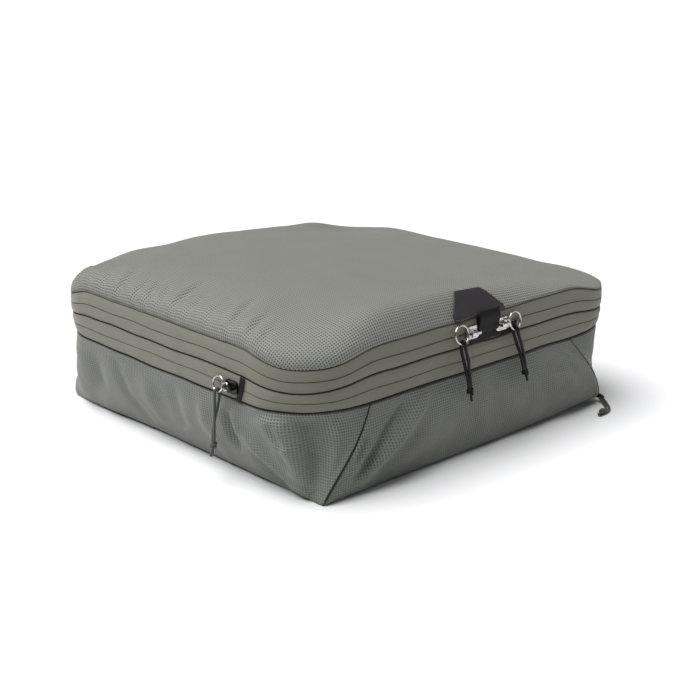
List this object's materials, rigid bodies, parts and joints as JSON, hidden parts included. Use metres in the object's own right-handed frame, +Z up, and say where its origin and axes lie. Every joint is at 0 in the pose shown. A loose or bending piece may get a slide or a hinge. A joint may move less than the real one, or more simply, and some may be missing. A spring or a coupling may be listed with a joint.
{
  "type": "packing cube",
  "caption": "Soft rectangular packing cube with a crowned hinged lid, a main zip, a compression zip that lets the body grow taller, and cord zip pulls.",
  "frame": {"origin": "centre of the flat base on the surface that the cube stands on", "axes": "+X along the long zipped front, -Y out of the front that carries the two main sliders, +Z up"},
  "size_m": [0.3526, 0.3341, 0.1271],
  "materials": {
    "ripstop_fabric": "matte",
    "lining_fabric": "matte",
    "zip_tape": "matte",
    "seam_thread": "matte",
    "zip_coil": "satin",
    "black_trim": "satin",
    "bright_metal": "polished",
    "dark_metal": "satin",
    "dark_cord": "matte",
    "sage_cord": "matte"
  },
  "bodies": {
    "base": {"base_panel": "ripstop_fabric", "front_wall": "ripstop_fabric", "back_wall": "ripstop_fabric", "left_wall": "ripstop_fabric", "right_wall": "ripstop_fabric", "corner_seams": "seam_thread", "lower_seam_piping": "seam_thread", "compression_tape_lower": "zip_tape", "compression_coil_lower": "zip_coil", "corner_loop": "sage_cord", "corner_loop_knot": "dark_cord"},
    "band": {"compression_tape_upper": "zip_tape", "compression_coil_upper": "zip_coil", "middle_seam_piping": "seam_thread", "main_tape_lower": "zip_tape", "main_coil_lower": "zip_coil", "zip_garage_strip": "black_trim", "zip_end_stops": "bright_metal", "rear_hinge_strip": "ripstop_fabric", "expansion_gusset": "lining_fabric"},
    "lid": {"top_panel": "ripstop_fabric", "top_seam_piping": "seam_thread", "main_tape_upper": "zip_tape", "main_coil_upper": "zip_coil", "pull_tab": "black_trim", "tab_strap": "black_trim"},
    "slider_left": {"main_slider_left": "bright_metal"},
    "slider_right": {"main_slider_right": "bright_metal"},
    "slider_compression": {"compression_slider": "dark_metal"},
    "ring_left": {"main_ring_left": "bright_metal"},
    "ring_right": {"main_ring_right": "bright_metal"},
    "ring_compression": {"compression_ring": "bright_metal"},
    "cord_left": {"main_cord_left": "dark_cord", "main_knot_left": "dark_cord"},
    "cord_right": {"main_cord_right": "dark_cord", "main_knot_right": "dark_cord"},
    "cord_compression": {"compression_cord": "sage_cord", "compression_knot": "sage_cord"}
  },
  "joints": [
    {"name": "expand", "type": "slide", "parent": "base", "child": "band", "axis": [0, 0, 1], "range_m": [0, 0.06], "deforming": ["expansion_gusset"]},
    {"name": "lid_hinge", "type": "hinge", "parent": "band", "child": "lid", "pos_m": [0, 0.1565, 0.0951], "axis": [-1, 0, 0], "range_deg": [0, 175]},
    {"name": "main_slide_left", "type": "slide", "parent": "band", "child": "slider_left", "axis": [-1, 0, 0], "range_m": [0, 0.075]},
    {"name": "main_slide_right", "type": "slide", "parent": "band", "child": "slider_right", "axis": [1, 0, 0], "range_m": [0, 0.067]},
    {"name": "compression_slide", "type": "slide", "parent": "base", "child": "slider_compression", "axis": [0, 1, 0], "range_m": [0, 0.155]},
    {"name": "ring_swing_left", "type": "hinge", "parent": "slider_left", "child": "ring_left", "pos_m": [-0.01255, -0.1582, 0.0938], "axis": [0, 0.2079, 0.9781], "range_deg": [0, 90]},
    {"name": "ring_swing_right", "type": "hinge", "parent": "slider_right", "child": "ring_right", "pos_m": [0.02155, -0.1582, 0.0938], "axis": [0, -0.1736, -0.9848], "range_deg": [0, 90]},
    {"name": "ring_swing_compression", "type": "hinge", "parent": "slider_compression", "child": "ring_compression", "pos_m": [-0.175, -0.0837, 0.07365], "axis": [0.2079, 0, 0.9781], "range_deg": [0, 90]},
    {"name": "cord_swing_left", "type": "hinge", "parent": "ring_left", "child": "cord_left", "pos_m": [-0.02426, -0.15931, 0.0886], "axis": [-1, 0, 0], "range_deg": [0, 90]},
    {"name": "cord_swing_right", "type": "hinge", "parent": "ring_right", "child": "cord_right", "pos_m": [0.03331, -0.1583, 0.0872], "axis": [-1, 0, 0], "range_deg": [0, 90]},
    {"name": "cord_swing_compression", "type": "hinge", "parent": "ring_compression", "child": "cord_compression", "pos_m": [-0.17612, -0.0731, 0.06837], "axis": [0, 1, 0], "range_deg": [0, 90]}
  ]
}
